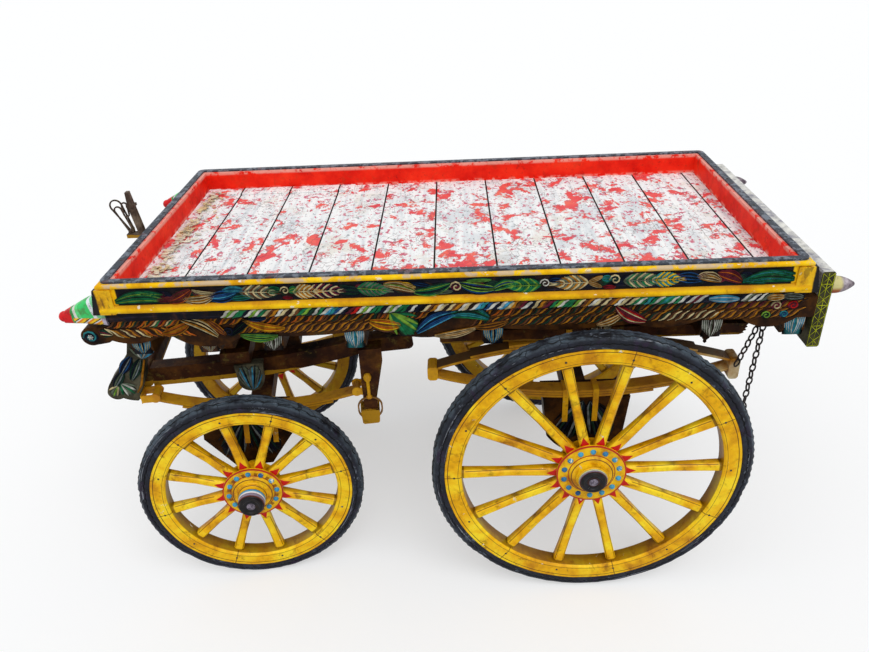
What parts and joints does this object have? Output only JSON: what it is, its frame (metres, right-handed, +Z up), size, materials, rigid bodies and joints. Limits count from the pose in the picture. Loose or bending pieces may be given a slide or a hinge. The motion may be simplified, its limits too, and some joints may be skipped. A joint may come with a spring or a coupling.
{
  "type": "four-wheeled draught cart",
  "caption": "Flat four-wheeled draught cart with a shallow planked tray, carved and painted frame, leaf springs, spoked wheels and a steered fore-carriage.",
  "frame": {"origin": "on the ground, under the middle of the whole cart", "axes": "+X forward towards the small wheels, +Y to the left of the cart, +Z up"},
  "size_m": [2.1552, 1.088, 1.195],
  "materials": {
    "deck_paint": "peeled red paint over white-grey",
    "carved_wood": "carved and painted in many colours",
    "frame_wood": "dark weathered paint",
    "yellow_wood": "old yellow paint",
    "yellow_iron": "old yellow paint",
    "dark_iron": "worn, dark",
    "tyre": "cracked solid rubber"
  },
  "bodies": {
    "bed": {"check_straps": "dark_iron", "corner_blocks": "carved_wood", "cross_bearers": "carved_wood", "deck_planks": "deck_paint", "deck_stringers": "frame_wood", "drag_chain": "dark_iron", "end_walls": "carved_wood", "front_horns": "carved_wood", "king_pin": "dark_iron", "rear_axle": "dark_iron", "rear_axle_bed": "frame_wood", "rear_axle_chests": "carved_wood", "rear_beams": "frame_wood", "rear_spring_clips": "yellow_iron", "rear_spring_heads": "yellow_iron", "rear_springs_lower": "yellow_iron", "rear_springs_upper": "yellow_iron", "rein_post": "dark_iron", "rim_strap": "dark_iron", "side_walls": "carved_wood", "sills": "carved_wood", "tail_board": "carved_wood", "tail_finials": "carved_wood", "turntable_upper": "dark_iron", "upper_bolster": "frame_wood"},
    "fore_carriage": {"turntable_lower": "dark_iron", "lower_bolster": "frame_wood", "fore_beams": "frame_wood", "front_bar": "frame_wood", "front_consoles": "carved_wood", "console_feet": "carved_wood", "pendants": "carved_wood", "hanger_posts": "frame_wood", "drop_rings": "dark_iron", "fore_springs": "yellow_iron", "fore_spring_hangers": "yellow_iron", "fore_spring_clips": "yellow_iron", "fore_axle_chests": "carved_wood", "fore_axle_bed": "frame_wood", "fore_axle": "dark_iron"},
    "wheel_rear_left": {"wheel_rear_left_cap": "dark_iron", "wheel_rear_left_felloe": "yellow_wood", "wheel_rear_left_nave": "yellow_wood", "wheel_rear_left_spokes": "yellow_wood", "wheel_rear_left_tyre": "tyre"},
    "wheel_rear_right": {"wheel_rear_right_cap": "dark_iron", "wheel_rear_right_felloe": "yellow_wood", "wheel_rear_right_nave": "yellow_wood", "wheel_rear_right_spokes": "yellow_wood", "wheel_rear_right_tyre": "tyre"},
    "wheel_fore_left": {"wheel_fore_left_cap": "dark_iron", "wheel_fore_left_felloe": "yellow_wood", "wheel_fore_left_nave": "yellow_wood", "wheel_fore_left_spokes": "yellow_wood", "wheel_fore_left_tyre": "tyre"},
    "wheel_fore_right": {"wheel_fore_right_cap": "dark_iron", "wheel_fore_right_felloe": "yellow_wood", "wheel_fore_right_nave": "yellow_wood", "wheel_fore_right_spokes": "yellow_wood", "wheel_fore_right_tyre": "tyre"}
  },
  "joints": [
    {"name": "steering", "type": "hinge", "parent": "bed", "child": "fore_carriage", "pos_m": [0.66136, 0, 0.77], "axis": [0, 0, 1], "range_deg": [-57.13, 42.87]},
    {"name": "rear_left_roll", "type": "hinge", "parent": "bed", "child": "wheel_rear_left", "pos_m": [-0.41164, 0.479, 0.46], "axis": [0, 1, 0], "continuous": true},
    {"name": "rear_right_roll", "type": "hinge", "parent": "bed", "child": "wheel_rear_right", "pos_m": [-0.41164, -0.479, 0.46], "axis": [0, 1, 0], "continuous": true},
    {"name": "fore_left_roll", "type": "hinge", "parent": "fore_carriage", "child": "wheel_fore_left", "pos_m": [0.61196, 0.39492, 0.343], "axis": [-0.1241, 0.9923, 0], "continuous": true},
    {"name": "fore_right_roll", "type": "hinge", "parent": "fore_carriage", "child": "wheel_fore_right", "pos_m": [0.71076, -0.39492, 0.343], "axis": [-0.1241, 0.9923, 0], "continuous": true}
  ]
}
